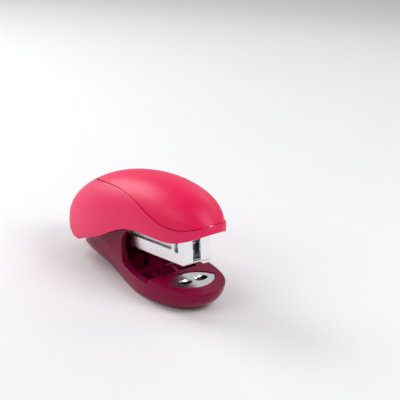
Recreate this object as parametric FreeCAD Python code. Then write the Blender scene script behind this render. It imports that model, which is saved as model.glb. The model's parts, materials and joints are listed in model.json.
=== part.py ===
import FreeCAD, Part
import math
import os
from FreeCAD import Vector as V

# Mini stapler for No. 10 staples, 15 sheets.  Millimetres.
# +X nose, +Y left side, +Z up.  Shapes are drawn about the middle of the anvil, and
# saved with the origin on the table, half way along the whole length.
#
# Driving dimensions -------------------------------------------------------
MID = 22.29           # the anvil's middle is this far ahead of the middle of the length
RAKE = 1.6            # the anvil and the ring around it slope this much to the nose
SOLE_LIFT = 3.5     # height of the anvil-level datum over the table
PITCH = 8.8           # magazine nose-up from the anvil plane, at rest
HINGE = (-39.0, 6.5)  # hinge pin, X and Z in the anvil plane's frame
PIN_R = 1.25
PIN_HALF = 7.5
ANVIL_TOP = 3.6       # in the anvil plane's frame
RING_TOP = 3.85
RAIL_TOP = 2.2
CHEEK_IN = 6.5        # inner faces of the two rear cheeks
WALL = 1.5            # cover wall
SHEET = 0.7           # steel sheet of the magazine and the handle frame
MAG_OUT = 5.2         # magazine half width
MAG_IN = 4.5
MAG_BOT = -3.1        # magazine floor, under the pin
FRONT = 40.3          # magazine front face, ahead of the pin
BLADE_R = (39.0, 39.5)
STAPLES = 49
STAPLE_PITCH = 0.505
STRIP_FRONT = 38.8

os.makedirs("parts", exist_ok=True)
SR, CR = math.sin(math.radians(RAKE)), math.cos(math.radians(RAKE))


def rf(x, z):
    """anvil-plane frame to the part's frame"""
    return (x * CR + z * SR, -x * SR + z * CR + SOLE_LIFT)


HX, HZ = rf(*HINGE)


def to_part(s):
    """place a shape drawn in the anvil-plane frame"""
    s = s.copy()
    s.rotate(V(0, 0, 0), V(0, 1, 0), RAKE)
    s.translate(V(0, 0, SOLE_LIFT))
    return s


def from_mag(s):
    """place a shape drawn in the magazine's frame, origin at the pin"""
    s = s.copy()
    s.rotate(V(0, 0, 0), V(0, 1, 0), -(PITCH - RAKE))
    s.translate(V(HX, 0, HZ))
    return s


def box(x0, x1, y0, y1, z0, z1):
    return Part.makeBox(x1 - x0, y1 - y0, z1 - z0, V(x0, y0, z0))


def cyl(x, y, z, r, h, d=(0, 0, 1)):
    return Part.makeCylinder(r, h, V(x, y, z), V(*d))


def poly(pts, y0, y1):
    """prism of an XZ outline between y0 and y1"""
    w = Part.makePolygon([V(p[0], y0, p[1]) for p in pts] + [V(pts[0][0], y0, pts[0][1])])
    return Part.Face(w).extrude(V(0, y1 - y0, 0))


def plate(pts, z0, z1):
    """prism of an XY outline between z0 and z1"""
    w = Part.makePolygon([V(p[0], p[1], z0) for p in pts] + [V(pts[0][0], pts[0][1], z0)])
    return Part.Face(w).extrude(V(0, 0, z1 - z0))


def fuse(first, *rest):
    s = first
    for r in rest:
        s = s.fuse(r)
    return s.removeSplitter()


def clean(s, name):
    solids = s.Solids
    if not solids:
        raise RuntimeError(name + ": no solid")
    big = [q for q in solids if q.Volume > 0.02]
    return big[0] if len(big) == 1 else Part.makeCompound(big)


def save(name, s):
    s = clean(s, name).copy()
    s.translate(V(MID, 0, 0))
    if not s.isValid():
        s.fix(1e-4, 1e-4, 1e-3)
    bb = s.BoundBox
    print("%-20s solids %d valid %s vol %8.1f  x %.2f..%.2f y %.2f..%.2f z %.2f..%.2f" % (
        name, len(s.Solids), s.isValid(), s.Volume, bb.XMin, bb.XMax, bb.YMin, bb.YMax, bb.ZMin, bb.ZMax))
    s.exportStep("parts/%s.step" % name)


def curve(pts):
    """smooth monotone interpolation through a table of (x, value)"""
    xs = [p[0] for p in pts]
    ys = [p[1] for p in pts]
    n = len(xs)
    h = [xs[i + 1] - xs[i] for i in range(n - 1)]
    d = [(ys[i + 1] - ys[i]) / h[i] for i in range(n - 1)]
    m = [d[0]] + [0.0] * (n - 2) + [d[-1]]
    for i in range(1, n - 1):
        if d[i - 1] * d[i] > 0:
            w1, w2 = 2 * h[i] + h[i - 1], h[i] + 2 * h[i - 1]
            m[i] = (w1 + w2) / (w1 / d[i - 1] + w2 / d[i])

    def f(x):
        x = min(max(x, xs[0]), xs[-1])
        i = 0
        while i < n - 2 and x > xs[i + 1]:
            i += 1
        t = (x - xs[i]) / h[i]
        return (ys[i] * (1 + 2 * t) * (1 - t) ** 2 + ys[i + 1] * t * t * (3 - 2 * t)
                + h[i] * (m[i] * t * (1 - t) ** 2 - m[i + 1] * t * t * (1 - t)))
    return f


def closed_wire(pts):
    c = Part.BSplineCurve()
    c.interpolate(Points=[V(*p) for p in pts], PeriodicFlag=True)
    return Part.Wire([c.toShape()])


def skin(rows, caps):
    """solid whose side is a smooth surface led by closed rows of points"""
    n, m = len(rows[0]), len(rows)
    poles = [[V(*rows[j][i]) for j in range(m)] for i in range(n)]
    c = Part.BSplineSurface()
    c.buildFromPolesMultsKnots(poles, [1] * (n + 1), [4] + [1] * (m - 4) + [4], [float(i) for i in range(n + 1)],
                               [float(i) for i in range(m - 2)], True, False, 3, 3)
    side = c.toShape()
    if not caps:
        s = Part.Solid(Part.Shell([side]))
    else:
        faces = [side]
        zs = (rows[0][0][2], rows[-1][0][2])
        for z in zs:
            es = [e for e in side.Edges if abs(e.BoundBox.ZMin - z) < 1e-4 and abs(e.BoundBox.ZMax - z) < 1e-4]
            faces.append(Part.Face(Part.Wire(es)))
        sh = Part.Shell(faces)
        sh.sewShape()
        s = Part.Solid(sh)
    if s.Volume < 0:
        s.reverse()
    return s


def dense(f, xs):
    return [(x, f(x)) for x in xs]


def span(a, b, n):
    return [a + (b - a) * i / (n - 1.0) for i in range(n)]


# ---------------------------------------------------------------- base shell
WIDE = [(9.5, 0), (9.15, 2.5), (8.1, 4.9), (6.4, 7.1), (4.0, 8.8), (1.0, 10.0), (-2.5, 10.9), (-7, 11.4),
        (-12, 11.3), (-18, 10.4), (-24, 9.1), (-30, 7.9), (-36, 7.2), (-41, 6.9), (-45, 6.4),
        (-47.2, 4.9), (-48.0, 2.5), (-48.1, 0)]
SOLE = [(1.5, 0), (1.1, 2.4), (0.1, 4.5), (-1.6, 6.4), (-4.0, 8.0), (-7, 9.0), (-10, 9.7), (-13.5, 9.7),
        (-17.5, 9.0), (-22, 7.9), (-27, 6.4), (-32, 4.9), (-37, 3.6), (-41.5, 2.9), (-45.5, 2.5),
        (-48.3, 2.0), (-49.6, 1.1), (-50, 0)]
CHEEK = [(9.5, 0), (9.15, 2.5), (8.1, 4.9), (6.4, 7.1), (4.0, 8.7), (1.0, 9.6), (-2.5, 10.0), (-7, 9.9),
         (-12, 9.0), (-18, 8.5), (-24, 8.2), (-30, 8.1), (-36, 8.1), (-41, 8.1), (-45, 7.6),
         (-47.3, 5.9), (-48.2, 3.0), (-48.3, 0)]


def blend(a, b, g, z):
    half = [(p[0] + (q[0] - p[0]) * g, p[1] + (q[1] - p[1]) * g) for p, q in zip(a, b)]
    return [(x, y, z) for x, y in half[::-1]] + [(x, -y, z) for x, y in half[1:-1]]


def base_outer():
    lv = [(0.0, 0.0), (0.6, 0.34), (1.6, 0.60), (3.1, 0.83), (5.2, 0.97), (7.2, 1.0)]
    rows = [blend(SOLE, WIDE, g, z) for z, g in lv]
    rows += [blend(WIDE, CHEEK, g, z) for g, z in ((0.5, 8.4), (1.0, 10.0), (1.0, 14.0), (1.0, 21.0))]
    return skin(rows, True)


def arc_about_hinge(r, a0, a1, n=24):
    return [(HINGE[0] + r * math.cos(math.radians(a)), HINGE[1] + r * math.sin(math.radians(a)))
            for a in span(a0, a1, n)]


BACK_R = 9.0
front_c = [(-18.2, RAIL_TOP), (-19.6, 2.35), (-21.2, 3.0), (-22.7, 4.3), (-23.6, 5.9), (-23.9, 7.4), (-23.7, 9.2),
           (-22.9, 10.9), (-21.7, 12.2), (-20.4, 13.0)]
KEEP = ([(14, RING_TOP), (-6.4, RING_TOP), (-6.8, RAIL_TOP)] + front_c
        + [(-20.2, 13.6), (-20.8, 14.2), (-23, 14.6), (-28, 14.7), (-34, 14.7), (-38, 14.7)]
        + arc_about_hinge(BACK_R, 116, 246)
        + [(-42.7, -12), (14, -12)])


def ellipse_pts(cx, a, b, n=48, power=2.0):
    out = []
    for i in range(n):
        t = 2 * math.pi * i / n
        c, s = math.cos(t), math.sin(t)
        out.append((cx + a * math.copysign(abs(c) ** (2 / power), c), b * math.copysign(abs(s) ** (2 / power), s)))
    return out


def anvil_outline(grow=0.0, n=24):
    """pointed oval: two arcs meeting at the left and right tips"""
    a, b = 4.75 + grow, 7.9 + grow
    r = (a * a + b * b) / (2 * a)
    th = math.asin(b / r)
    pts = []
    for i in range(n):
        t = -th + 2 * th * i / n
        pts.append((-(r - a) + r * math.cos(t), r * math.sin(t)))
    for i in range(n):
        t = -th + 2 * th * i / n
        pts.append(((r - a) - r * math.cos(t), -r * math.sin(t)))
    return pts


def base_shell():
    outer = base_outer()
    body = outer.common(to_part(poly(KEEP, -20, 20)))
    # staple-remover tongue, tapering behind the sole
    t = plate([(-41, 4.0), (-44, 3.5), (-47, 2.9), (-50, 2.2), (-52.0, 1.6), (-52.9, 0.9), (-53.1, 0.0),
               (-52.9, -0.9), (-52.0, -1.6), (-50, -2.2), (-47, -2.9), (-44, -3.5), (-41, -4.0)], 0.3, 4.0)
    t = t.common(poly([(-40, 0.3), (-40, 4.0), (-44.0, 3.6), (-47, 2.9), (-50.5, 2.05), (-53.2, 1.35), (-53.2, 0.75),
                       (-52.4, 0.3)], -6, 6))
    body = body.fuse(t)
    # inner pocket: between the rails and back between the cheeks
    plan = [(-7.4, 8.4), (-9, 8.9), (-12, 8.9), (-16, 8.4), (-20, 7.7), (-23, 6.9), (-25.0, CHEEK_IN),
            (-49, CHEEK_IN)]
    plan = plan + [(x, -y) for x, y in reversed(plan)]
    rear = [rf(*p) for p in arc_about_hinge(7.6, 250, 118, 24)]
    rear_lo = [p for p in rear if p[1] > 4.0]
    side = [(-7.0, 40), (-7.4, 2.3), (-24, 2.3), (-31, 3.4), (-35, 4.0), (rear_lo[0][0], 4.0)] + rear_lo
    side = side + [(rear[-1][0], 40)]
    pocket = plate(plan, -5, 30).common(poly(side, -10, 10))
    # the pocket is narrower under the hinge, where the hull is slim
    for sg in (-1, 1):
        y0, y1 = (5.5, 9.0) if sg > 0 else (-9.0, -5.5)
        pocket = pocket.cut(poly([(-60, -6), (-25.0, -6), (-26.5, 3.0), (-29, 6.2), (-31, 7.3), (-60, 7.3)], y0, y1))
    body = body.cut(pocket)
    # stiffening ribs on the pocket floor
    ribs = []
    for x0, zt in ((-14.6, 5.7), (-22.6, 6.1)):
        for s in (-1, 1):
            y0, y1 = (1.1, 9.4) if s > 0 else (-9.4, -1.1)
            ribs.append(box(x0 - 0.5, x0 + 0.5, y0, y1, 1.5, zt))
    dip = curve([(-15, 5.8), (-12.5, 4.7), (-10, 4.3), (-8, 4.8), (-6, 6.1)])
    top = dense(dip, span(-15, -6.5, 16))
    for s in (-1, 1):
        yy = 3.6 * s
        ribs.append(poly([(-15, 1.5)] + top + [(-6.5, 1.5)], yy - 0.5, yy + 0.5))
    rib = ribs[0]
    for r in ribs[1:]:
        rib = rib.fuse(r)
    body = body.fuse(rib.common(outer).common(to_part(poly(KEEP, -20, 20))))
    # seat of the anvil plate with two tab slots
    seat = plate(anvil_outline(0.05), ANVIL_TOP - 1.0, 12)
    slots = [box(-1.25, 1.25, y - 0.45, y + 0.45, ANVIL_TOP - 2.6, ANVIL_TOP) for y in (-5.9, 5.9)]
    for c in [seat] + slots:
        body = body.cut(to_part(c))
    # blind bores of the hinge pin
    body = body.cut(cyl(HX, -PIN_HALF - 0.02, HZ, PIN_R + 0.01, 2 * PIN_HALF + 0.04, (0, 1, 0)))
    body = body.cut(cyl(SPRING_RIV_X, 0, 1.9, 0.71, 4))
    return body


def anvil_plate():
    p = plate(anvil_outline(0.0), ANVIL_TOP - 0.95, ANVIL_TOP)
    for y in (-5.9, 5.9):
        p = p.fuse(box(-1.2, 1.2, y - 0.4, y + 0.4, ANVIL_TOP - 2.5, ANVIL_TOP - 0.5))
    # two forming pockets, each a shallow curved trough that turns a staple leg inwards
    for s in (-1, 1):
        c = Part.makeSphere(1.0)
        m = FreeCAD.Matrix()
        m.scale(1.5, 2.45, 1.0)
        c = c.transformGeometry(m)
        c.translate(V(0, s * 2.75, ANVIL_TOP + 0.32))
        p = p.cut(c)
    return to_part(p.removeSplitter())


def rivet(x, y, z0, z1, r, head_r, head_h, foot=True):
    s = cyl(x, y, z0, r, z1 - z0)
    s = s.fuse(cyl(x, y, z1, head_r, head_h))
    if foot:
        s = s.fuse(cyl(x, y, z0 - head_h, head_r, head_h))
    return s.removeSplitter()


SPRING_RIV_X = -38.6


def base_spring():
    # flat leaf, riveted to the pocket floor, its free end under the magazine floor
    tip = (6.2, MAG_BOT - 0.02)
    c, s = math.cos(math.radians(PITCH)), math.sin(math.radians(PITCH))
    rx, rz = HINGE[0] + tip[0] * c - tip[1] * s, HINGE[1] + tip[0] * s + tip[1] * c
    tx, tz = rf(rx, rz)
    mid = [(-40.3, 4.02), (-37.4, 4.02), (-36.6, 4.25), (-35.2, 5.4)]
    line = mid + [(tx - 1.0, tz - 0.55), (tx, tz - 0.32), (tx + 1.1, tz - 0.75)]
    th = 0.3
    up, lo = [], []
    for i, p in enumerate(line):
        a = line[max(i - 1, 0)]
        b = line[min(i + 1, len(line) - 1)]
        dx, dz = b[0] - a[0], b[1] - a[1]
        L = math.hypot(dx, dz)
        up.append((p[0] - dz / L * th, p[1] + dx / L * th))
        lo.append(p)
    return poly(lo + up[::-1], -1.5, 1.5).cut(cyl(SPRING_RIV_X, 0, 0, 0.72, 8))


# ------------------------------------------------------------------ magazine
def magazine_channel():
    rear = [(-6.0, 2.2), (-6.5, 1.4), (-6.5, -1.6), (-6.0, -2.6), (-5.0, MAG_BOT), (7.4, MAG_BOT), (8.2, -2.6),
            (8.5, -1.8), (8.5, 0.1), (8.8, 0.55), (9.3, 0.75), (11.6, 0.75), (12.2, 0.5), (12.5, -0.1),
            (12.35, -1.6), (12.5, -2.5), (13.0, MAG_BOT)]
    top = [(FRONT, MAG_BOT), (FRONT, 5.3), (35.4, 5.3), (35.4, 1.3), (35.2, 0.95), (34.8, 0.85), (15.4, 0.85),
           (14.9, 1.05), (14.6, 1.5), (14.4, 2.5), (14.0, 2.9)]
    outline = rear + top
    w = poly(outline, MAG_IN, MAG_OUT).fuse(poly(outline, -MAG_OUT, -MAG_IN))
    floor = box(13.0, FRONT, -MAG_OUT, MAG_OUT, MAG_BOT, MAG_BOT + SHEET)
    floor = floor.fuse(box(-5.0, 7.4, -MAG_OUT, MAG_OUT, MAG_BOT, MAG_BOT + SHEET))
    floor = floor.cut(box(STRIP_FRONT, FRONT - SHEET, -4.45, 4.45, -4, -2))
    fl = box(FRONT - SHEET, FRONT, 1.42, MAG_OUT, MAG_BOT, 5.3).fuse(
        box(FRONT - SHEET, FRONT, -MAG_OUT, -1.42, MAG_BOT, 5.3))
    s = fuse(w, floor, fl)
    # oblong window in each tall front wall
    for y in (-6, 4):
        o = box(36.5, 38.5, y, y + 2, 1.35, 3.2).fuse(cyl(37.5, y, 1.35, 1.0, 2, (0, 1, 0))).fuse(
            cyl(37.5, y, 3.2, 1.0, 2, (0, 1, 0)))
        s = s.cut(o)
    s = s.cut(cyl(0, -9, 0, PIN_R + 0.04, 18, (0, 1, 0)))
    for x in (6.0, 30.0):
        for y in (-2.35, 2.35):
            s = s.cut(cyl(x, y, -4, 0.52, 3))
    # round the long bends and the front corners
    try:
        es = []
        for e in s.Edges:
            if len(e.Vertexes) != 2:
                continue
            a, b = e.Vertexes[0].Point, e.Vertexes[1].Point
            if abs(abs(a.y) - MAG_OUT) < 1e-3 and abs(abs(b.y) - MAG_OUT) < 1e-3:
                if abs(a.z - MAG_BOT) < 1e-3 and abs(b.z - MAG_BOT) < 1e-3 and e.Length > 5:
                    es.append(e)
                if abs(a.x - FRONT) < 1e-3 and abs(b.x - FRONT) < 1e-3 and e.Length > 5:
                    es.append(e)
        s = s.makeFillet(0.45, es)
    except Exception as err:
        print("magazine fillet skipped", err)
    return s


def staple_core():
    o = box(2.2, 38.2, -3.65, 3.65, MAG_BOT + SHEET, 2.2)
    o = o.cut(box(2.8, 37.6, -3.05, 3.05, -4, 1.6))
    o = o.cut(box(2.8, 36.0, -0.85, 0.85, 1, 3))
    for x in (6.0, 30.0):
        for s in (-1, 1):
            y0, y1 = (1.65, 3.2) if s > 0 else (-3.2, -1.65)
            o = o.fuse(box(x - 2, x + 2, y0, y1, MAG_BOT + SHEET, MAG_BOT + SHEET + 0.6))
            o = o.cut(cyl(x, 2.35 * s, -4, 0.52, 3))
    o = o.cut(cyl(2, 0, ROD_Z, 0.605, 37, (1, 0, 0)))
    # keep the pin clear
    return o.removeSplitter()


ROD_Z = -0.2


def staple_strip():
    n = STAPLES
    x1 = STRIP_FRONT
    x0 = x1 - n * STAPLE_PITCH
    g = 0.05
    teeth_hi, teeth_lo = [], []
    for i in range(n):
        a = x0 + i * STAPLE_PITCH
        b = a + STAPLE_PITCH
        teeth_hi += [(a, -g), (a + 0.09, 0.0), (b - 0.09, 0.0)]
    teeth_hi.append((x1, -g))
    crown = poly([(x, 2.7 + z) for x, z in teeth_hi] + [(x1, 2.28), (x0, 2.28)], -4.3, 4.3)
    s = crown
    for sg in (-1, 1):
        pts = [(x, sg * (4.3 + y)) for x, y in teeth_hi] + [(x1, sg * 3.8), (x0, sg * 3.8)]
        s = s.fuse(plate(pts, -2.3, 2.5))
    return s.removeSplitter()


def pusher():
    s = box(11.0, 14.0, -4.3, 4.3, -2.2, 2.95).cut(box(10, 15, -3.72, 3.72, -4, 2.27))
    s = s.fuse(box(11.0, 13.6, -0.75, 0.75, 0.3, 2.6))
    s = s.fuse(box(11.0, 13.6, -1.3, 1.3, -1.5, 1.1))
    s = s.cut(cyl(10, 0, ROD_Z, 0.66, 5, (1, 0, 0)))
    return s.removeSplitter()


def pusher_rod():
    return cyl(1.75, 0, ROD_Z, 0.6, 36.4, (1, 0, 0)).fuse(cyl(38.15, 0, ROD_Z, 0.6, 0.3, (1, 0, 0))).removeSplitter()


def rod_clip():
    return cyl(1.78, 0, ROD_Z, 1.15, 0.4, (1, 0, 0)).cut(cyl(1, 0, ROD_Z, 0.6, 3, (1, 0, 0))).cut(
        box(1, 3, -0.35, 0.35, ROD_Z - 2, ROD_Z))


def coil(x0, x1, turns, mean_r, wire_d, z):
    h = Part.makeHelix((x1 - x0 - wire_d) / turns, x1 - x0 - wire_d, mean_r)
    prof = Part.Wire([Part.makeCircle(wire_d / 2, V(mean_r, 0, 0), V(0, 1, 0))])
    s = Part.Wire(h.Edges).makePipeShell([prof], True, True)
    s.rotate(V(0, 0, 0), V(0, 1, 0), 90)
    s.translate(V(x0 + wire_d / 2, 0, z))
    return s


# -------------------------------------------------------------------- handle
FRAME_TOP = [(-2.6, 4.2), (6.0, 7.2), (36.9, 12.9)]


PLATE_A = math.atan2(12.9 - 7.2, 36.9 - 6.0)
PLATE_N = V(-math.sin(PLATE_A), 0, math.cos(PLATE_A))


def on_plate(x, h0, h1, rad, y=0.0):
    """cylinder square to the handle frame's top plate, between two heights over it"""
    p = V(x, y, frame_top_z(x)) + PLATE_N * h0
    return Part.makeCylinder(rad, h1 - h0, p, PLATE_N)


def handle_frame():
    side = ([(3.1 * math.cos(math.radians(a)), 3.1 * math.sin(math.radians(a))) for a in span(125, 300, 14)]
            + [(5.0, -2.1), (9.0, -0.4), (13.5, 2.3), (17.0, 3.3), (20.0, 3.5), (38.4, 3.5), (38.9, 4.0),
               (38.6, 8.0), (37.6, 12.5), (36.9, 12.9), (6.0, 7.2), (0.3, 5.2)])
    s = poly(side, 5.5, 6.2).fuse(poly(side, -6.2, -5.5))
    t = 0.7
    top = [(0.3, 5.2), (6.0, 7.2), (36.9, 12.9), (37.0, 12.2), (6.1, 6.5), (0.4, 4.45)]
    s = s.fuse(poly(top, -6.2, 6.2))
    # curved front tab that carries the driver blade
    r0, r1 = BLADE_R[0] - t, BLADE_R[0]
    arc = [(r1 * math.cos(math.radians(a)), r1 * math.sin(math.radians(a))) for a in span(13.6, 19.0, 8)]
    arc2 = [(r0 * math.cos(math.radians(a)), r0 * math.sin(math.radians(a))) for a in span(19.0, 13.6, 8)]
    s = s.fuse(poly(arc + arc2, -3.9, 3.9))
    s = s.fuse(box(36.2, 36.95, -3.9, 3.9, 12.15, 12.75))
    s = s.cut(cyl(0, -9, 0, PIN_R + 0.04, 18, (0, 1, 0)))
    # holes: two cover screws, the leaf spring's rivet, two blade rivets
    for x in SCREW_X:
        s = s.cut(on_plate(x, -2, 2, 0.95))
    s = s.cut(on_plate(RIV_X, -2, 2, 0.72))
    for y in (-2.2, 2.2):
        s = s.cut(radial_cyl(y, 36, 41, 0.62))
    return s.removeSplitter()


SCREW_X = (12.0, 31.0)
RIV_X = 24.0
BLADE_RIVET_A = 16.6


def radial_cyl(y, r0, r1, rad):
    a = math.radians(BLADE_RIVET_A)
    return Part.makeCylinder(rad, r1 - r0, V(r0 * math.cos(a), y, r0 * math.sin(a)), V(math.cos(a), 0, math.sin(a)))


def driver_blade():
    r0, r1 = BLADE_R
    pts = [(r1 * math.cos(math.radians(a)), r1 * math.sin(math.radians(a))) for a in span(4.85, 18.4, 16)]
    pts += [(r0 * math.cos(math.radians(a)), r0 * math.sin(math.radians(a))) for a in span(18.4, 4.85, 16)]
    s = poly(pts, -4.2, 4.2)
    for y in (-2.2, 2.2):
        s = s.cut(radial_cyl(y, 36, 41, 0.62))
    return s


def blade_rivets():
    out = []
    for y in (-2.2, 2.2):
        s = radial_cyl(y, BLADE_R[0] - 0.74, BLADE_R[1] + 0.02, 0.6)
        s = s.fuse(radial_cyl(y, BLADE_R[1] + 0.02, BLADE_R[1] + 0.15, 0.95)).fuse(
            radial_cyl(y, BLADE_R[0] - 1.09, BLADE_R[0] - 0.74, 0.95))
        out.append(s.removeSplitter())
    return Part.makeCompound(out)


def frame_top_z(x):
    return 7.2 + (x - 6.0) * (12.9 - 7.2) / (36.9 - 6.0)


def handle_spring():
    # leaf under the handle frame, its free end on the magazine's rear wall tops
    th = 0.3
    und = lambda x: frame_top_z(x) - 0.74
    line = [(27.0, und(27.0)), (22.0, und(22.0)), (20.5, und(20.5) - 0.15), (18.5, 7.6), (16.0, 5.2), (13.9, 3.55),
            (12.9, 3.27), (11.8, 3.5)]
    a_, b_ = [], []
    for i, p in enumerate(line):
        a = line[max(i - 1, 0)]
        b = line[min(i + 1, len(line) - 1)]
        dx, dz = b[0] - a[0], b[1] - a[1]
        L = math.hypot(dx, dz)
        a_.append(p)
        b_.append((p[0] + dz / L * -th * -1, p[1] + dx / L * th))
    narrow = poly(a_ + b_[::-1], -2.2, 2.2)
    wide = poly(a_[-3:] + b_[-3:][::-1], -5.1, 5.1)
    return narrow.fuse(wide).removeSplitter().cut(on_plate(RIV_X, -2, 2, 0.72))


# -------------------------------------------------------------------- covers
XR, XN = -55, 8.4
ZT = curve([(-55, 6.8), (-54.85, 8.6), (-54.22, 10.6), (-52.75, 13.3), (-50.78, 15.6), (-46.86, 18.93),
            (-41.96, 22.11), (-36, 25.17), (-30, 27.33), (-24, 28.98), (-18, 30.14), (-12, 30.69),
            (-8, 30.57), (-4.06, 30.2), (-0.28, 29.4), (2.55, 28.2), (4.91, 26.4), (6.8, 24.67),
            (7.83, 23.18), (8.26, 22.07), (8.4, 20.6)])
WD = curve([(-55, 0), (-54.85, 2.4), (-54.22, 4.8), (-52.75, 7.4), (-50.78, 9.2), (-46.86, 10.79),
            (-41.96, 11.76), (-36, 12.68), (-30, 12.85), (-24, 12.68), (-18, 12.28), (-12, 11.75),
            (-6, 10.97), (-2.17, 10.05), (0.66, 8.91), (3.02, 7.61), (4.91, 6.24), (6.8, 4.25),
            (7.83, 2.57), (8.26, 1.32), (8.4, 0)])
ZC = curve([(-55, 5.5), (-49.8, 6.2), (-40, 8.8), (-30, 12.6), (-20, 16.4), (-10, 19), (-0.28, 20.4),
            (8.4, 21.2)])
HL = curve([(-55, 0), (-54.85, 1.7), (-54.22, 3.4), (-52.75, 5.4), (-50.78, 7.2), (-46.86, 9.8),
            (-41.96, 11.8), (-36, 12.8), (-30, 13.2), (-0.28, 13), (3.02, 10.5), (4.91, 8), (6.8, 5),
            (7.83, 3), (8.26, 1.5), (8.4, 0)])
SEAM = curve([(-60, 13.27), (-51.76, 16.69), (-46.37, 19.12), (-41.96, 20.78), (-38, 22.04), (-32, 23.64),
              (-27.2, 24.47), (-22.3, 24.88), (-17.9, 24.8), (-13.5, 24.22), (-9.8, 23.27), (-5.7, 22.39),
              (-2.55, 21.72), (0.38, 21.56), (2.74, 21.78), (4.63, 22.4), (6.23, 23.05), (7.65, 24.01),
              (12, 26.05)])
EDGE = curve([(-60, 1.05), (-49.8, 1.05), (-45.88, 1.3), (-42.94, 1.85), (-40.39, 3.02), (-37.4, 4.57),
              (-34.3, 6.07), (-29.3, 8.68), (-24.7, 11.68), (-21.4, 13.69), (-18.3, 15.18), (-16.8, 15.75),
              (-12.9, 16.57), (-9.2, 16.97), (-5.7, 17.17), (-2.36, 17.24), (-0.09, 17.46), (1.98, 18.04),
              (4.91, 19.39), (6.61, 20.4), (7.93, 21.36), (12, 23.88)])
STN = [-54.85, -54.22, -52.75, -50.78, -47.84, -43.92, -39.0, -33.0, -27.0, -21.0, -15.0, -10.0, -6.0, -2.17, 0.66, 3.02, 4.91, 6.51, 7.65, 8.26]
NPOW = 2.15


def section(x, t, grow=0.0):
    """closed cover section at station x, thinned by t"""
    half = (XN - XR) / 2.0
    xc = (XN + XR) / 2.0
    e = 0.45 * grow * max(0.0, min(1.0, (x + 30.0) / 34.0)) ** 1.5
    tt = t - e
    k = (half - tt) / half if tt > 0 else 1.0
    xx = xc + (x - xc) * k + (e if tt < 0 else 0.0) * max(0.0, (x - 3.0) / 6.0)
    w0, hu0, hl0, zc = WD(x), ZT(x) - ZC(x), HL(x), ZC(x)
    m = min(1.0, w0 / 6.0)
    w = max(w0 - tt * m, 0.3)
    hu = max(hu0 - tt * min(1.0, hu0 / 6.0), 0.3)
    hl = max(hl0 - tt * min(1.0, hl0 / 6.0), 0.3)
    pts = []
    n = 28
    for i in range(n):
        a = -math.pi / 2 + 2 * math.pi * i / n
        c, s = math.cos(a), math.sin(a)
        p = NPOW if s > 0 else 3.0
        yy = w * math.copysign(abs(c) ** (2 / p), c)
        zz = (hu if s > 0 else hl) * math.copysign(abs(s) ** (2 / p), s)
        pts.append((xx, yy, zc + zz))
    return pts


def cover_solid(t, grow=0.0):
    first, last = section(XR, t, grow), section(XN, t, grow)
    n = len(first)
    rows = [[(first[0][0], 0, ZC(XR))] * n]
    rows += [section(x, t, grow) for x in STN]
    rows.append([(last[0][0], 0, ZC(XN))] * n)
    return skin(rows, False)


def below(f, dz, lo=-40.0):
    xs = span(-60, 12, 120)
    pts = [V(x, -25, f(x) + dz) for x in xs]
    c = Part.BSplineCurve()
    c.interpolate(Points=pts)
    a, b = V(-60, -25, lo), V(12, -25, lo)
    w = Part.Wire([c.toShape(), Part.makeLine(pts[-1], b), Part.makeLine(b, a), Part.makeLine(a, pts[0])])
    return Part.Face(w).extrude(V(0, 50, 0))


NOTCH_HALF = 4.7
NOTCH_TOP = 10.8


def cover_parts():
    o_cap = cover_solid(0.0)
    o_skirt = cover_solid(0.0, 1.0)
    mid = cover_solid(0.8)
    inner = cover_solid(WALL)
    big = box(-70, 20, -30, 30, -45, 60)
    under_edge = below(EDGE, 0.0)
    under_seam_lo = below(SEAM, -0.10)
    under_seam_hi = below(SEAM, 0.10)
    under_tongue = below(SEAM, 1.2)
    under_tongue_c = below(SEAM, 1.27)
    shell = o_cap.cut(inner)
    cap = shell.cut(under_seam_hi)
    band = mid.cut(inner)
    # rebate in the cap for the skirt's tongue
    cap = cap.cut(mid.common(under_tongue_c).common(box(-46, 20, -30, 30, -45, 60)))
    skirt = o_skirt.cut(inner).common(under_seam_lo).cut(under_edge)
    tongue = cover_solid(0.85).cut(inner).common(under_tongue).cut(below(SEAM, -0.6))
    tongue = tongue.common(box(-44, 7.0, -30, 30, -45, 60))
    skirt = skirt.fuse(tongue)
    # rear window, open at the bottom, that clears the tongue when the handle is lifted
    skirt = skirt.cut(box(-70, -42, -NOTCH_HALF, NOTCH_HALF, -20, NOTCH_TOP))
    return cap, skirt, inner


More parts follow.
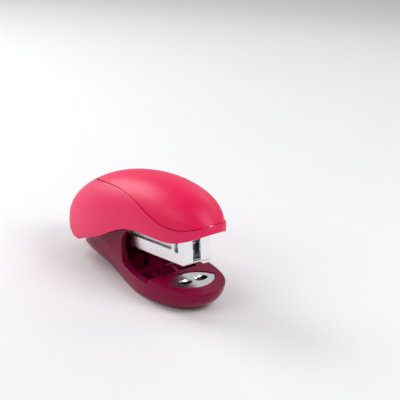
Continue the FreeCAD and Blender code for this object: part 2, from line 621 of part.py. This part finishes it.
def main():
    base = base_shell()
    save("base_shell", base)
    save("anvil_plate", anvil_plate())
    save("pivot_pin", cyl(HX, -PIN_HALF, HZ, PIN_R, 2 * PIN_HALF, (0, 1, 0)))
    save("base_spring", base_spring())
    r = rivet(SPRING_RIV_X, 0, 2.2, 4.34, 0.7, 1.15, 0.5, foot=False)
    save("base_spring_rivet", r)

    save("magazine_channel", from_mag(magazine_channel()))
    save("staple_core", from_mag(staple_core()))
    riv = [rivet(x, y, MAG_BOT, MAG_BOT + SHEET + 0.6, 0.5, 0.64, 0.25) for x in (6.0, 30.0) for y in (-2.35, 2.35)]
    save("core_rivets", from_mag(Part.makeCompound(riv)))
    save("staple_strip", from_mag(staple_strip()))
    save("pusher_rod", from_mag(pusher_rod()))
    save("rod_clip", from_mag(rod_clip()))
    save("pusher_spring", from_mag(coil(2.85, 10.97, 15, 1.26, 0.34, ROD_Z)))
    save("pusher", from_mag(pusher()))

    save("handle_frame", from_mag(handle_frame()))
    save("driver_blade", from_mag(driver_blade()))
    save("blade_rivets", from_mag(blade_rivets()))
    save("handle_spring", from_mag(handle_spring()))
    hr = fuse(on_plate(RIV_X, -1.06, 0.02, 0.7), on_plate(RIV_X, 0.02, 0.42, 1.3), on_plate(RIV_X, -1.46, -1.06, 1.3))
    save("handle_spring_rivet", from_mag(hr))

    cap, skirt, inner = cover_parts()
    cap, skirt = to_part(cap), to_part(skirt)
    # screw bosses hang from the cap onto the handle frame
    inner_p = to_part(inner)
    screws = []
    for x in SCREW_X:
        b = on_plate(x, 0.02, 14, 2.1)
        b = from_mag(b).common(to_part(cover_solid(0.5)))
        b = b.cut(to_part(below(SEAM, 0.5)).common(box(-100, 100, 6, 7, 0, 1)))
        cap = cap.fuse(b)
        cap = cap.cut(from_mag(on_plate(x, -1, 6.6, 0.8)))
        s = on_plate(x, -0.8, 6.2, 0.78).fuse(on_plate(x, -1.65, -0.73, 1.7))
        # cross recess in the head
        q = FreeCAD.Placement(V(x, 0, frame_top_z(x)), FreeCAD.Rotation(V(0, 1, 0), -math.degrees(PLATE_A)))
        for c in (box(-1.2, 1.2, -0.2, 0.2, -2.0, -1.25), box(-0.2, 0.2, -1.2, 1.2, -2.0, -1.25)):
            c.Placement = q.multiply(c.Placement)
            s = s.cut(c)
        screws.append(from_mag(s.removeSplitter()))
    save("cover_cap", cap)
    save("cover_skirt", skirt)
    save("cover_screws", Part.makeCompound(screws))


main()
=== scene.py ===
import json
import math

import bpy
import numpy as np
from mathutils import Matrix, Vector


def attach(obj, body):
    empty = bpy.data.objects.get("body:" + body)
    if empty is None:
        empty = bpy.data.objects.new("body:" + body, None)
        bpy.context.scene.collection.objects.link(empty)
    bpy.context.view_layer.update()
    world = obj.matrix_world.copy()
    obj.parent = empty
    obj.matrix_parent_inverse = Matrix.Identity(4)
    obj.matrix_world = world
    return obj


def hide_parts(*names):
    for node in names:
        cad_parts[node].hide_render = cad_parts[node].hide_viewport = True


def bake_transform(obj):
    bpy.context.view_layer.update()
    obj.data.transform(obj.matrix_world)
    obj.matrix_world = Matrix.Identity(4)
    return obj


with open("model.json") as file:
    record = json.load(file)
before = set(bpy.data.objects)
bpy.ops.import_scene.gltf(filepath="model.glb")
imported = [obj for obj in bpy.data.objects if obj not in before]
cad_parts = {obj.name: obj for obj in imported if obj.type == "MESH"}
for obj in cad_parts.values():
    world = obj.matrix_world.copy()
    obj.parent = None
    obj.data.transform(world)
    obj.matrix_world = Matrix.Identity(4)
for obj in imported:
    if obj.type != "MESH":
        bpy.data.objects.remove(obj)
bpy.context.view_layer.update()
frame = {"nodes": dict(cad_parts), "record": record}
NODES = frame["nodes"]

MM = 0.001
MID = 22.29
RAKE = math.radians(1.6)
LIFT = 3.5


# ------------------------------------------------------------------ helpers
def curve(pts):
    """smooth monotone interpolation through a table of (x, value)"""
    xs = [p[0] for p in pts]
    ys = [p[1] for p in pts]
    n = len(xs)
    h = [xs[i + 1] - xs[i] for i in range(n - 1)]
    d = [(ys[i + 1] - ys[i]) / h[i] for i in range(n - 1)]
    m = [d[0]] + [0.0] * (n - 2) + [d[-1]]
    for i in range(1, n - 1):
        if d[i - 1] * d[i] > 0:
            w1, w2 = 2 * h[i] + h[i - 1], h[i] + 2 * h[i - 1]
            m[i] = (w1 + w2) / (w1 / d[i - 1] + w2 / d[i])

    def f(x):
        x = min(max(x, xs[0]), xs[-1])
        i = 0
        while i < n - 2 and x > xs[i + 1]:
            i += 1
        t = (x - xs[i]) / h[i]
        return (ys[i] * (1 + 2 * t) * (1 - t) ** 2 + ys[i + 1] * t * t * (3 - 2 * t)
                + h[i] * (m[i] * t * (1 - t) ** 2 - m[i + 1] * t * t * (1 - t)))
    return f


def place(p):
    """from the anvil plane's frame, in mm, to the row frame, in metres"""
    x, y, z = p
    c, s = math.cos(RAKE), math.sin(RAKE)
    return ((x * c + z * s + MID) * MM, y * MM, (-x * s + z * c + LIFT) * MM)


def mesh_object(name, verts, faces, body, smooth=True):
    me = bpy.data.meshes.new(name)
    me.from_pydata([tuple(v) for v in verts], [], faces)
    me.validate()
    me.update()
    ob = bpy.data.objects.new(name, me)
    bpy.context.scene.collection.objects.link(ob)
    if smooth:
        for p in me.polygons:
            p.use_smooth = True
    return ob


# ---------------------------------------------------------- cover's surface
XR, XN = -55, 8.4
ZT = curve([(-55, 6.8), (-54.85, 8.6), (-54.22, 10.6), (-52.75, 13.3), (-50.78, 15.6), (-46.86, 18.93),
            (-41.96, 22.11), (-36, 25.17), (-30, 27.33), (-24, 28.98), (-18, 30.14), (-12, 30.69),
            (-8, 30.57), (-4.06, 30.2), (-0.28, 29.4), (2.55, 28.2), (4.91, 26.4), (6.8, 24.67),
            (7.83, 23.18), (8.26, 22.07), (8.4, 20.6)])
WD = curve([(-55, 0), (-54.85, 2.4), (-54.22, 4.8), (-52.75, 7.4), (-50.78, 9.2), (-46.86, 10.79),
            (-41.96, 11.76), (-36, 12.68), (-30, 12.85), (-24, 12.68), (-18, 12.28), (-12, 11.75),
            (-6, 10.97), (-2.17, 10.05), (0.66, 8.91), (3.02, 7.61), (4.91, 6.24), (6.8, 4.25),
            (7.83, 2.57), (8.26, 1.32), (8.4, 0)])
ZC = curve([(-55, 5.5), (-49.8, 6.2), (-40, 8.8), (-30, 12.6), (-20, 16.4), (-10, 19), (-0.28, 20.4),
            (8.4, 21.2)])
HL = curve([(-55, 0), (-54.85, 1.7), (-54.22, 3.4), (-52.75, 5.4), (-50.78, 7.2), (-46.86, 9.8),
            (-41.96, 11.8), (-36, 12.8), (-30, 13.2), (-0.28, 13), (3.02, 10.5), (4.91, 8), (6.8, 5),
            (7.83, 3), (8.26, 1.5), (8.4, 0)])
SEAM = curve([(-60, 13.27), (-51.76, 16.69), (-46.37, 19.12), (-41.96, 20.78), (-38, 22.04), (-32, 23.64),
              (-27.2, 24.47), (-22.3, 24.88), (-17.9, 24.8), (-13.5, 24.22), (-9.8, 23.27), (-5.7, 22.39),
              (-2.55, 21.72), (0.38, 21.56), (2.74, 21.78), (4.63, 22.4), (6.23, 23.05), (7.65, 24.01),
              (12, 26.05)])
EDGE = curve([(-60, 1.05), (-49.8, 1.05), (-45.88, 1.3), (-42.94, 1.85), (-40.39, 3.02), (-37.4, 4.57),
              (-34.3, 6.07), (-29.3, 8.68), (-24.7, 11.68), (-21.4, 13.69), (-18.3, 15.18), (-16.8, 15.75),
              (-12.9, 16.57), (-9.2, 16.97), (-5.7, 17.17), (-2.36, 17.24), (-0.09, 17.46), (1.98, 18.04),
              (4.91, 19.39), (6.61, 20.4), (7.93, 21.36), (12, 23.88)])
STN = [-54.85, -54.22, -52.75, -50.78, -47.84, -43.92, -39.0, -33.0, -27.0, -21.0, -15.0, -10.0, -6.0, -2.17, 0.66, 3.02, 4.91, 6.51, 7.65, 8.26]
NPOW = 2.15


def section(x, t, grow=0.0):
    half = (XN - XR) / 2.0
    xc = (XN + XR) / 2.0
    e = 0.45 * grow * max(0.0, min(1.0, (x + 30.0) / 34.0)) ** 1.5
    tt = t - e
    k = (half - tt) / half if tt > 0 else 1.0
    xx = xc + (x - xc) * k + (e if tt < 0 else 0.0) * max(0.0, (x - 3.0) / 6.0)
    w0, hu0, hl0, zc = WD(x), ZT(x) - ZC(x), HL(x), ZC(x)
    m = min(1.0, w0 / 6.0)
    w = max(w0 - tt * m, 0.3)
    hu = max(hu0 - tt * min(1.0, hu0 / 6.0), 0.3)
    hl = max(hl0 - tt * min(1.0, hl0 / 6.0), 0.3)
    pts = []
    n = 28
    for i in range(n):
        a = -math.pi / 2 + 2 * math.pi * i / n
        c, s = math.cos(a), math.sin(a)
        p = NPOW if s > 0 else 3.0
        yy = w * math.copysign(abs(c) ** (2 / p), c)
        zz = (hu if s > 0 else hl) * math.copysign(abs(s) ** (2 / p), s)
        pts.append((xx, yy, zc + zz))
    return pts


def clamped_basis(m, ts):
    """cubic B-spline basis, uniform with clamped ends"""
    knots = [0.0] * 3 + [float(i) for i in range(m - 2)] + [float(m - 3)] * 3
    out = np.zeros((len(ts), m))
    for r, t in enumerate(ts):
        t = min(max(t, 0.0), m - 3 - 1e-9)
        N = [1.0 if knots[i] <= t < knots[i + 1] else 0.0 for i in range(len(knots) - 1)]
        for k in range(1, 4):
            M = []
            for i in range(len(knots) - 1 - k):
                a = knots[i + k] - knots[i]
                b = knots[i + k + 1] - knots[i + 1]
                v = 0.0
                if a > 0:
                    v += (t - knots[i]) / a * N[i]
                if b > 0:
                    v += (knots[i + k + 1] - t) / b * N[i + 1]
                M.append(v)
            N = M
        out[r] = N
    return out


def periodic_basis(n, ts):
    out = np.zeros((len(ts), n))
    for r, t in enumerate(ts):
        i = int(math.floor(t))
        f = t - i
        w = [(1 - f) ** 3 / 6, (3 * f ** 3 - 6 * f * f + 4) / 6, (-3 * f ** 3 + 3 * f * f + 3 * f + 1) / 6, f ** 3 / 6]
        for k in range(4):
            out[r][(i - 1 + k) % n] += w[k]
    return out


class Skin:
    def __init__(self, t, grow):
        first, last = section(XR, t, grow), section(XN, t, grow)
        n = len(first)
        rows = [[(first[0][0], 0, ZC(XR))] * n] + [section(x, t, grow) for x in STN]
        rows.append([(last[0][0], 0, ZC(XN))] * n)
        self.P = np.array(rows, float)          # m, n, 3
        self.m, self.n = self.P.shape[:2]
        half = np.linspace(0, self.n / 2.0, 121)
        self.half = periodic_basis(self.n, half)

    def sec(self, v):
        b = clamped_basis(self.m, [v])[0]
        row = np.tensordot(b, self.P, axes=(0, 0))
        q = self.half @ row                      # the +y half, bottom to top
        q = q.copy()
        q[0, 1] = 0.0
        q[-1, 1] = 0.0
        return q


def cut_by_z(q, z):
    """(index, fraction) where the half section rises through z"""
    zs = q[:, 2]
    if z <= zs[0]:
        return 0.0
    if z >= zs[-1]:
        return float(len(q) - 1)
    i = int(np.searchsorted(zs, z)) - 1
    f = (z - zs[i]) / max(zs[i + 1] - zs[i], 1e-9)
    return i + f


def at(q, s):
    i = int(min(math.floor(s), len(q) - 2))
    f = s - i
    return q[i] * (1 - f) + q[i + 1] * f


def arc_resample(q, a, b, n):
    """n points evenly spaced along the half section between parameters a and b"""
    ss = np.linspace(a, b, 160)
    pts = np.array([at(q, s) for s in ss])
    L = np.concatenate([[0], np.cumsum(np.linalg.norm(np.diff(pts, axis=0), axis=1))])
    if L[-1] < 1e-9:
        return np.repeat(pts[:1], n, axis=0)
    t = np.linspace(0, L[-1], n)
    return np.stack([np.interp(t, L, pts[:, k]) for k in range(3)], -1)


def root(f, a, b):
    fa = f(a)
    for _ in range(50):
        c = 0.5 * (a + b)
        fc = f(c)
        if (fc > 0) == (fa > 0):
            a, fa = c, fc
        else:
            b = c
    return 0.5 * (a + b)


def roots(f, vs):
    out = []
    vals = [f(v) for v in vs]
    for i in range(len(vs) - 1):
        if (vals[i] > 0) != (vals[i + 1] > 0):
            out.append(root(f, vs[i], vs[i + 1]))
    return out


def grid_faces(rows, n, flip=False):
    faces = []
    for j in range(len(rows) - 1):
        for i in range(n - 1):
            a, b = j * n + i, j * n + i + 1
            c, d = (j + 1) * n + i + 1, (j + 1) * n + i
            faces.append((a, d, c, b) if flip else (a, b, c, d))
    return faces


def weld(ob, dist=0.00001):
    import bmesh
    bm = bmesh.new()
    bm.from_mesh(ob.data)
    bmesh.ops.remove_doubles(bm, verts=bm.verts, dist=dist)
    bad = [f for f in bm.faces if f.calc_area() < 1e-13]
    bmesh.ops.delete(bm, geom=bad, context="FACES_ONLY")
    loose = [v for v in bm.verts if not v.link_faces]
    bmesh.ops.delete(bm, geom=loose, context="VERTS")
    bmesh.ops.recalc_face_normals(bm, faces=bm.faces)
    bm.to_mesh(ob.data)
    bm.free()
    for p in ob.data.polygons:
        p.use_smooth = True


GAP = 0.11


def make_cap():
    S = Skin(0.0, 0.0)
    top = lambda v: S.sec(v)[-1][2] - (SEAM(S.sec(v)[-1][0]) + GAP)
    vs = list(np.linspace(0, S.m - 3, 260))
    rt = roots(top, vs)
    a, b = rt[0], rt[-1]
    cols = [a + 1e-4] + [v for v in vs if a + 0.004 < v < b - 0.004] + [b - 1e-4]
    n = 41
    rows = []
    for v in cols:
        q = S.sec(v)
        s = cut_by_z(q, SEAM(q[0][0]) + GAP)
        h = arc_resample(q, s, len(q) - 1.0, n)
        left = h[::-1].copy()
        left[:, 1] *= -1
        rows.append(np.concatenate([h, left[1:]]))
    verts = [place(p) for r in rows for p in r]
    return verts, grid_faces(rows, len(rows[0]))


def make_skirt():
    S = Skin(0.0, 1.0)
    top = lambda v: S.sec(v)[-1][2] - (SEAM(S.sec(v)[-1][0]) - GAP)
    low = lambda v: S.sec(v)[-1][2] - EDGE(S.sec(v)[-1][0])
    vs = list(np.linspace(0, S.m - 3, 260))
    rt = roots(top, vs)
    rl = [r for r in roots(low, vs) if r > rt[-1]]
    end = rl[-1] if rl else S.m - 3
    cols = sorted([v for v in vs if v < end - 0.004] + rt + [end - 1e-4])
    n = 31
    verts, faces = [], []
    rows = []
    for v in cols:
        q = S.sec(v)
        a = cut_by_z(q, EDGE(q[0][0]))
        b = cut_by_z(q, SEAM(q[0][0]) - GAP)
        rows.append(arc_resample(q, min(a, b), b, n))
    for sg in (1, -1):
        base = len(verts)
        for r in rows:
            for p in r:
                verts.append(place((p[0], sg * p[1], p[2])))
        for f in grid_faces(rows, n, flip=(sg < 0)):
            faces.append(tuple(i + base for i in f))
    return verts, faces


def make_tongue():
    """the skirt's tongue, seen only through the groove"""
    S = Skin(0.62, 0.0)
    top = lambda v: S.sec(v)[-1][2] - (SEAM(S.sec(v)[-1][0]) + 1.0)
    vs = list(np.linspace(0, S.m - 3, 220))
    rt = roots(top, vs)
    cols = [v for v in vs if rt[0] + 0.01 < v < rt[-1] - 0.01]
    n = 7
    verts, faces, rows = [], [], []
    for v in cols:
        q = S.sec(v)
        a = cut_by_z(q, SEAM(q[0][0]) - 0.9)
        b = cut_by_z(q, SEAM(q[0][0]) + 1.0)
        rows.append(arc_resample(q, a, b, n))
    for sg in (1, -1):
        base = len(verts)
        for r in rows:
            for p in r:
                verts.append(place((p[0], sg * p[1], p[2])))
        for f in grid_faces(rows, n, flip=(sg < 0)):
            faces.append(tuple(i + base for i in f))
    return verts, faces


def outward(ob, centre):
    """makes the sheet's normals point away from its middle"""
    me = ob.data
    c = Vector(centre)
    s = sum((p.normal.dot(p.center - c)) * p.area for p in me.polygons)
    if s < 0:
        me.flip_normals()


def shell(name, data, thickness, bevel):
    ob = mesh_object(name, data[0], data[1], "handle")
    weld(ob)
    outward(ob, (0.0, 0.0, 0.018))
    so = ob.modifiers.new("wall", "SOLIDIFY")
    so.thickness = thickness * MM
    so.offset = -1
    so.use_even_offset = False
    so.use_rim = True
    return ob


cap = shell("cover_cap_shell", make_cap(), 1.45, 0.15)
skirt = shell("cover_skirt_shell", make_skirt(), 1.45, 0.15)
tongue = shell("cover_skirt_tongue", make_tongue(), 0.5, 0.05)

# rear window in the skirt
cut = bpy.data.meshes.new("cutter")
x0, x1, y1, z0, z1, rr = -70.0, -42.0, 4.7, -20.0, 10.8, 1.2
ring = []
for (cy, cz, a0) in ((y1 - rr, z1 - rr, 0), (-y1 + rr, z1 - rr, 90)):
    for k in range(7):
        a = math.radians(a0 + 15 * k)
        ring.append((cy + rr * math.cos(a), cz + rr * math.sin(a)))
ring += [(-y1, z0), (y1, z0)]
cv = [place((x0, y, z)) for y, z in ring] + [place((x1, y, z)) for y, z in ring]
nr = len(ring)
cf = [tuple(range(nr))[::-1], tuple(range(nr, 2 * nr))] + [(i, (i + 1) % nr, nr + (i + 1) % nr, nr + i) for i in range(nr)]
cut.from_pydata(cv, [], cf)
cutter = bpy.data.objects.new("window_cutter", cut)
bpy.context.scene.collection.objects.link(cutter)
bo = skirt.modifiers.new("window", "BOOLEAN")
bo.operation = "DIFFERENCE"
bo.solver = "EXACT"
bo.object = cutter

for ob in (cap, skirt):
    bv = ob.modifiers.new("edges", "BEVEL")
    bv.width = 0.22 * MM
    bv.segments = 3
    bv.limit_method = "ANGLE"
    bv.angle_limit = math.radians(42)
    bv.use_clamp_overlap = True

# bake the modifiers, so the cutter can go
dg = bpy.context.evaluated_depsgraph_get()
for ob in (cap, skirt, tongue):
    me = bpy.data.meshes.new_from_object(ob.evaluated_get(dg), depsgraph=dg)
    ob.modifiers.clear()
    ob.data = me
    me.set_sharp_from_angle(angle=math.radians(38))
bpy.data.objects.remove(cutter)


# ---------------------------------------------------------------- materials
def new_material(name):
    m = bpy.data.materials.new(name)
    m.use_nodes = True
    nt = m.node_tree
    return m, nt, nt.nodes["Principled BSDF"]


def noise_bump(nt, bsdf, scale, strength, distance, detail=3.0, bevel=None, samples=6):
    tc = nt.nodes.new("ShaderNodeTexCoord")
    no = nt.nodes.new("ShaderNodeTexNoise")
    no.inputs["Scale"].default_value = scale
    no.inputs["Detail"].default_value = detail
    nt.links.new(tc.outputs["Object"], no.inputs["Vector"])
    bu = nt.nodes.new("ShaderNodeBump")
    bu.inputs["Strength"].default_value = strength
    bu.inputs["Distance"].default_value = distance
    nt.links.new(no.outputs["Fac"], bu.inputs["Height"])
    if bevel:
        be = nt.nodes.new("ShaderNodeBevel")
        be.samples = samples
        be.inputs["Radius"].default_value = bevel
        nt.links.new(be.outputs["Normal"], bu.inputs["Normal"])
    nt.links.new(bu.outputs["Normal"], bsdf.inputs["Normal"])
    return no


def vary(nt, bsdf, socket, a, b, scale, detail=4.0):
    """lets a value wander between a and b over the surface"""
    tc = nt.nodes.new("ShaderNodeTexCoord")
    no = nt.nodes.new("ShaderNodeTexNoise")
    no.inputs["Scale"].default_value = scale
    no.inputs["Detail"].default_value = detail
    nt.links.new(tc.outputs["Object"], no.inputs["Vector"])
    if socket == "Base Color":
        mx = nt.nodes.new("ShaderNodeMix")
        mx.data_type = "RGBA"
        mx.inputs[6].default_value = (*a, 1)
        mx.inputs[7].default_value = (*b, 1)
        nt.links.new(no.outputs["Fac"], mx.inputs[0])
        nt.links.new(mx.outputs[2], bsdf.inputs[socket])
    else:
        mr = nt.nodes.new("ShaderNodeMapRange")
        mr.inputs["From Min"].default_value = 0.3
        mr.inputs["From Max"].default_value = 0.7
        mr.inputs["To Min"].default_value = a
        mr.inputs["To Max"].default_value = b
        nt.links.new(no.outputs["Fac"], mr.inputs["Value"])
        nt.links.new(mr.outputs["Result"], bsdf.inputs[socket])


def plastic(name, c1, c2, rough, coat, coat_rough, sheen, sheen_tint, grain, bevel=None, spec=0.5, ior=1.5):
    m, nt, b = new_material(name)
    vary(nt, b, "Base Color", c1, c2, 60.0)
    vary(nt, b, "Roughness", rough[0], rough[1], 900.0)
    b.inputs["IOR"].default_value = ior
    b.inputs["Specular IOR Level"].default_value = spec
    b.inputs["Coat Weight"].default_value = coat
    b.inputs["Coat Roughness"].default_value = coat_rough
    b.inputs["Sheen Weight"].default_value = sheen
    b.inputs["Sheen Roughness"].default_value = 0.45
    b.inputs["Sheen Tint"].default_value = (*sheen_tint, 1)
    noise_bump(nt, b, 4200.0, grain, 0.00002, bevel=bevel)
    return m


def metal(name, c1, c2, rough, brush=None, bevel=0.00012, aniso=0.0):
    m, nt, b = new_material(name)
    b.inputs["Metallic"].default_value = 1.0
    vary(nt, b, "Base Color", c1, c2, 140.0)
    vary(nt, b, "Roughness", rough[0], rough[1], 500.0)
    b.inputs["Anisotropic"].default_value = aniso
    no = noise_bump(nt, b, 2200.0, 0.05, 0.00001, bevel=bevel)
    if brush:
        mp = nt.nodes.new("ShaderNodeMapping")
        mp.inputs["Scale"].default_value = brush
        tc = nt.nodes.new("ShaderNodeTexCoord")
        nt.links.new(tc.outputs["Object"], mp.inputs["Vector"])
        nt.links.new(mp.outputs["Vector"], no.inputs["Vector"])
        no.inputs["Scale"].default_value = 900.0
    return m


M = {}
M["cap_pink"] = plastic("cap_pink", (0.82, 0.001, 0.076), (0.86, 0.002, 0.090), (0.40, 0.46), 0.0, 0.3, 0.05,
                        (1.0, 0.55, 0.70), 0.10, spec=0.42, ior=1.45)
M["skirt_pink"] = plastic("skirt_pink", (0.80, 0.009, 0.096), (0.84, 0.012, 0.110), (0.44, 0.50), 0.0, 0.3, 0.06,
                          (1.0, 0.55, 0.70), 0.10, spec=0.42, ior=1.45)
M["base_burgundy"] = plastic("base_burgundy", (0.215, 0.0001, 0.036), (0.240, 0.0002, 0.042), (0.20, 0.25), 0.0, 0.18,
                             0.0, (1.0, 0.35, 0.6), 0.02, bevel=0.00025, spec=0.30, ior=1.30)
M["anvil_chrome"] = metal("anvil_chrome", (0.96, 0.96, 0.965), (0.92, 0.92, 0.93), (0.13, 0.18), bevel=0.0002)
M["magazine_steel"] = metal("magazine_steel", (0.90, 0.90, 0.91), (0.84, 0.84, 0.86), (0.20, 0.28),
                            brush=(0.15, 1.0, 1.6), bevel=0.0002)
M["core_steel"] = metal("core_steel", (0.55, 0.55, 0.57), (0.48, 0.48, 0.50), (0.28, 0.36), brush=(0.2, 1.0, 1.4))
M["staple_steel"] = metal("staple_steel", (0.72, 0.72, 0.74), (0.60, 0.60, 0.62), (0.22, 0.30), bevel=0.00006)
M["pusher_steel"] = metal("pusher_steel", (0.50, 0.50, 0.52), (0.42, 0.42, 0.44), (0.30, 0.38))
M["frame_steel"] = metal("frame_steel", (0.60, 0.60, 0.62), (0.52, 0.52, 0.54), (0.26, 0.34), brush=(0.2, 1.0, 1.4))
M["pin_steel"] = metal("pin_steel", (0.66, 0.66, 0.68), (0.58, 0.58, 0.60), (0.18, 0.26))
M["spring_steel"] = metal("spring_steel", (0.42, 0.42, 0.43), (0.34, 0.34, 0.35), (0.26, 0.34))
M["rivet_steel"] = metal("rivet_steel", (0.68, 0.68, 0.70), (0.60, 0.60, 0.62), (0.22, 0.30))
M["screw_steel"] = metal("screw_steel", (0.20, 0.20, 0.21), (0.15, 0.15, 0.16), (0.32, 0.40))



def painted_reflection_pockets(m):
    """paints the two forming pockets near-black as a painted reflection and painted shade, and makes them rougher; the
    plate round them keeps its bright colour
    """
    nt = m.node_tree
    b = nt.nodes["Principled BSDF"]
    tc = nt.nodes.new("ShaderNodeTexCoord")
    sp = nt.nodes.new("ShaderNodeSeparateXYZ")
    nt.links.new(tc.outputs["Object"], sp.inputs["Vector"])

    def op(kind, a, c=None):
        n = nt.nodes.new("ShaderNodeMath")
        n.operation = kind
        for i, q in enumerate((a, c)):
            if q is None:
                continue
            if isinstance(q, (int, float)):
                n.inputs[i].default_value = q
            else:
                nt.links.new(q, n.inputs[i])
        return n.outputs[0]

    cx = place((0.0, 0.0, 3.6))[0]
    dx = op("DIVIDE", op("SUBTRACT", sp.outputs["X"], cx), 1.55 * MM)
    ay = op("ABSOLUTE", sp.outputs["Y"])
    dy = op("DIVIDE", op("SUBTRACT", ay, 2.85 * MM), 2.55 * MM)
    # narrow at the middle of the plate, wide outside it
    wid = op("ADD", 0.72, op("MULTIPLY", dy, 0.30))
    ddx = op("DIVIDE", dx, wid)
    rr = op("ADD", op("MULTIPLY", ddx, ddx), op("MULTIPLY", dy, dy))
    mr = nt.nodes.new("ShaderNodeMapRange")
    mr.interpolation_type = "SMOOTHSTEP"
    mr.inputs["From Min"].default_value = 0.82
    mr.inputs["From Max"].default_value = 1.0
    mr.inputs["To Min"].default_value = 1.0
    mr.inputs["To Max"].default_value = 0.0
    nt.links.new(rr, mr.inputs["Value"])
    # noise that varies the tone of the painted reflection inside the pockets
    reflection_noise = nt.nodes.new("ShaderNodeTexNoise")
    reflection_noise.inputs["Scale"].default_value = 700.0
    nt.links.new(tc.outputs["Object"], reflection_noise.inputs["Vector"])
    # painted reflection: near-black chrome colour standing in for the dark surroundings the pockets mirror and the
    # shade in them
    dark = nt.nodes.new("ShaderNodeMix")
    dark.data_type = "RGBA"
    dark.inputs[6].default_value = (0.010, 0.010, 0.012, 1)
    dark.inputs[7].default_value = (0.16, 0.15, 0.16, 1)
    st = nt.nodes.new("ShaderNodeMapRange")
    st.inputs["From Min"].default_value = 0.48
    st.inputs["From Max"].default_value = 0.68
    nt.links.new(reflection_noise.outputs["Fac"], st.inputs["Value"])
    nt.links.new(st.outputs["Result"], dark.inputs[0])
    mx = nt.nodes.new("ShaderNodeMix")
    mx.data_type = "RGBA"
    nt.links.new(mr.outputs["Result"], mx.inputs[0])
    old = b.inputs["Base Color"].links[0].from_socket
    nt.links.new(old, mx.inputs[6])
    nt.links.new(dark.outputs[2], mx.inputs[7])
    nt.links.new(mx.outputs[2], b.inputs["Base Color"])
    ro = nt.nodes.new("ShaderNodeMix")
    ro.data_type = "FLOAT"
    nt.links.new(mr.outputs["Result"], ro.inputs[0])
    old = b.inputs["Roughness"].links[0].from_socket
    nt.links.new(old, ro.inputs[2])
    ro.inputs[3].default_value = 0.42
    nt.links.new(ro.outputs[0], b.inputs["Roughness"])


# the anvil's pockets get a painted dark reflection and painted shade in their colour
painted_reflection_pockets(M["anvil_chrome"])

SLOTS = {s["node"]: s["material_slot"] for s in frame["record"]["subparts"]}
for name, ob in NODES.items():
    ob.data.materials.clear()
    ob.data.materials.append(M[SLOTS[name]])
    for p in ob.data.polygons:
        p.use_smooth = True
    ob.data.set_sharp_from_angle(angle=math.radians(28))

for ob, node in ((cap, "cover_cap"), (skirt, "cover_skirt"), (tongue, "cover_skirt")):
    ob.data.materials.clear()
    ob.data.materials.append(M[SLOTS[node]])
    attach(ob, "handle")
    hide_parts(node)


def flex(node):
    """a copy of a spring's mesh, baked in place, with the original part hidden"""
    src = NODES[node]
    ob = bpy.data.objects.new(node + "_flex", src.data.copy())
    bpy.context.scene.collection.objects.link(ob)
    ob.matrix_world = src.matrix_world.copy()
    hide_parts(node)
    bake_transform(ob)
    return ob


flex("base_spring")
flex("handle_spring")
flex("pusher_spring")

# -------------------------------------------------------------------- stage
bpy.ops.mesh.primitive_plane_add(size=3.0, location=(0, 0, 0))
floor = bpy.context.object
floor.name = "floor"
fm, fnt, fb = new_material("floor_paper")
vary(fnt, fb, "Base Color", (0.86, 0.86, 0.86), (0.89, 0.89, 0.89), 12.0)
fb.inputs["Roughness"].default_value = 0.7
noise_bump(fnt, fb, 300.0, 0.04, 0.0002)
floor.data.materials.append(fm)

world = bpy.data.worlds.new("studio")
bpy.context.scene.world = world
world.use_nodes = True
wb = world.node_tree.nodes["Background"]
wb.inputs["Color"].default_value = (0.93, 0.94, 1.0, 1)
wb.inputs["Strength"].default_value = 0.33


def area(name, loc, target, size, power, col=(1, 1, 1)):
    li = bpy.data.lights.new(name, "AREA")
    li.shape = "RECTANGLE"
    li.size, li.size_y = size
    li.energy = power
    li.color = col
    ob = bpy.data.objects.new(name, li)
    bpy.context.scene.collection.objects.link(ob)
    ob.location = loc
    d = Vector(target) - Vector(loc)
    ob.rotation_euler = d.to_track_quat("-Z", "Y").to_euler()
    ob.visible_camera = False
    return ob


area("key", (-0.33, -0.09, 0.22), (0, 0, 0.015), (0.22, 0.20), 0.95)
area("front", (-0.02, -0.36, 0.26), (0, 0, 0.015), (0.30, 0.16), 0.42)
area("card", (-0.22, 0.21, 0.15), (0.01, 0, 0.012), (0.34, 0.22), 0.05)
area("nose", (0.25, 0.10, 0.28), (0, 0, 0.015), (0.18, 0.18), 0.62)
area("back", (-0.05, 0.34, 0.26), (0, 0, 0.015), (0.40, 0.14), 0.28)

# ------------------------------------------------------------------- camera
az, el, roll = math.radians(49.9), math.radians(21.9), math.radians(3.2)
back = Vector((math.sin(az) * math.cos(el), -math.cos(az) * math.cos(el), math.sin(el)))
r = Vector((math.cos(az), math.sin(az), 0.0))
u = Vector((-math.sin(az) * math.sin(el), math.cos(az) * math.sin(el), math.cos(el)))
r2 = math.cos(roll) * r + math.sin(roll) * u
u2 = -math.sin(roll) * r + math.cos(roll) * u
pos = Vector((0, 0, 0.017)) + back * 0.3516 + r2 * 0.01558 + u2 * 0.00656
cam_data = bpy.data.cameras.new("camera")
cam_data.lens = 1186.0 / 400.0 * 36.0
cam_data.sensor_width = 36.0
cam_data.clip_start = 0.01
cam_data.clip_end = 20.0
cam_data.dof.use_dof = False
cam = bpy.data.objects.new("camera", cam_data)
bpy.context.scene.collection.objects.link(cam)
m = Matrix((r2, u2, back)).transposed().to_4x4()
m.translation = pos
cam.matrix_world = m
bpy.context.scene.camera = cam
bpy.context.scene.view_settings.view_transform = "Standard"
bpy.context.scene.view_settings.look = "None"
